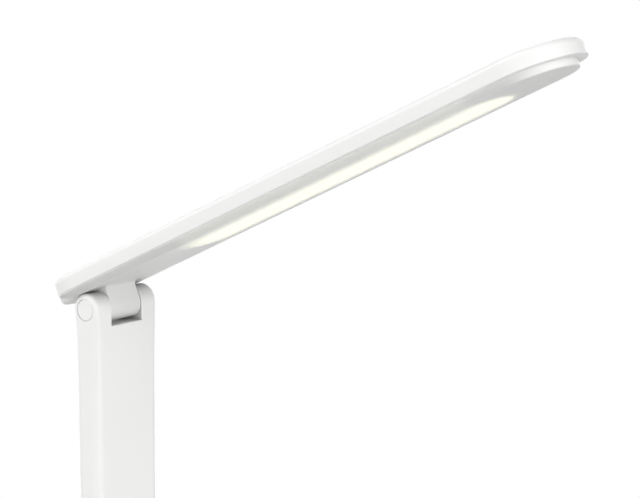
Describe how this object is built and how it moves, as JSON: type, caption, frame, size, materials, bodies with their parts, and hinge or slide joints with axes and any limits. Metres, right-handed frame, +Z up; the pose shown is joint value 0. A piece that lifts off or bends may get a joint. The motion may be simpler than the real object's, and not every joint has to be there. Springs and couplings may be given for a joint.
{
  "type": "folding led desk lamp",
  "caption": "Folding desk lamp: a long flat light head on a friction hinge, a slim upright arm that folds forward, and a weighted oval base with push buttons.",
  "frame": {"origin": "centre of the base's footprint, on the table plane", "axes": "+Z up along the upright arm, -Y the side the head points to, X along both hinge axes"},
  "size_m": [0.104, 0.2969, 0.4866],
  "materials": {
    "housing": "satin white moulding",
    "lens": "opal diffuser, lit",
    "reflector": "white, matt",
    "led_plate": "white solder mask on aluminium",
    "led": "phosphor coated",
    "screw": "zinc plated",
    "lead": "round two-core lead",
    "pin": "turned",
    "spring": "spring steel",
    "washer": "nylon",
    "bush": "turned brass",
    "tray": "matt white",
    "pad": "soft matt grey",
    "weight": "blackened plate",
    "mount": "die-cast, painted where it shows",
    "board": "solder mask",
    "switch": "black",
    "inlet": "nickel plated",
    "button": "satin"
  },
  "bodies": {
    "base": {"foot_shroud": "housing", "base_cover": "housing", "base_tray": "tray", "base_pad": "pad", "weight_plate": "weight", "arm_mount": "mount", "lower_pin": "pin", "lower_nut": "pin", "lower_springs": "spring", "lower_washers": "washer", "mount_screws": "screw", "plate_screws": "screw", "base_screws": "screw", "control_board": "board", "switches": "switch", "control_screws": "screw", "power_board": "board", "power_screws": "screw", "usb_inlet": "inlet", "supply_lead": "lead", "feed_lead": "lead"},
    "arm": {"arm_shell": "housing", "arm_cover": "housing", "arm_lead": "lead", "upper_bushes": "bush", "upper_caps": "housing", "lower_bushes": "bush", "lower_caps": "housing"},
    "head": {"head_shell": "housing", "head_frame": "housing", "diffuser": "lens", "reflector": "reflector", "led_board": "led_plate", "led_chips": "led", "board_screws": "screw", "head_lead": "lead", "upper_pin": "pin", "upper_nut": "pin", "upper_springs": "spring", "upper_washers": "washer"},
    "power_key": {"power_button": "button", "power_plunger": "switch"},
    "mode_key": {"mode_button": "button", "mode_plunger": "switch"}
  },
  "joints": [
    {"name": "arm_tilt", "type": "hinge", "parent": "base", "child": "arm", "pos_m": [0, 0.058, 0.04], "axis": [1, 0, 0], "range_deg": [-15, 90]},
    {"name": "head_tilt", "type": "hinge", "parent": "arm", "child": "head", "pos_m": [0, 0.058, 0.346], "axis": [1, 0, 0], "range_deg": [-64, 115]},
    {"name": "power_press", "type": "slide", "parent": "base", "child": "power_key", "axis": [0, 0, -1], "range_m": [0, 0.0006], "stiffness_N_per_m": 2000, "springref_m": -0.0004},
    {"name": "mode_press", "type": "slide", "parent": "base", "child": "mode_key", "axis": [0, 0, -1], "range_m": [0, 0.0006], "stiffness_N_per_m": 2000, "springref_m": -0.0004}
  ]
}
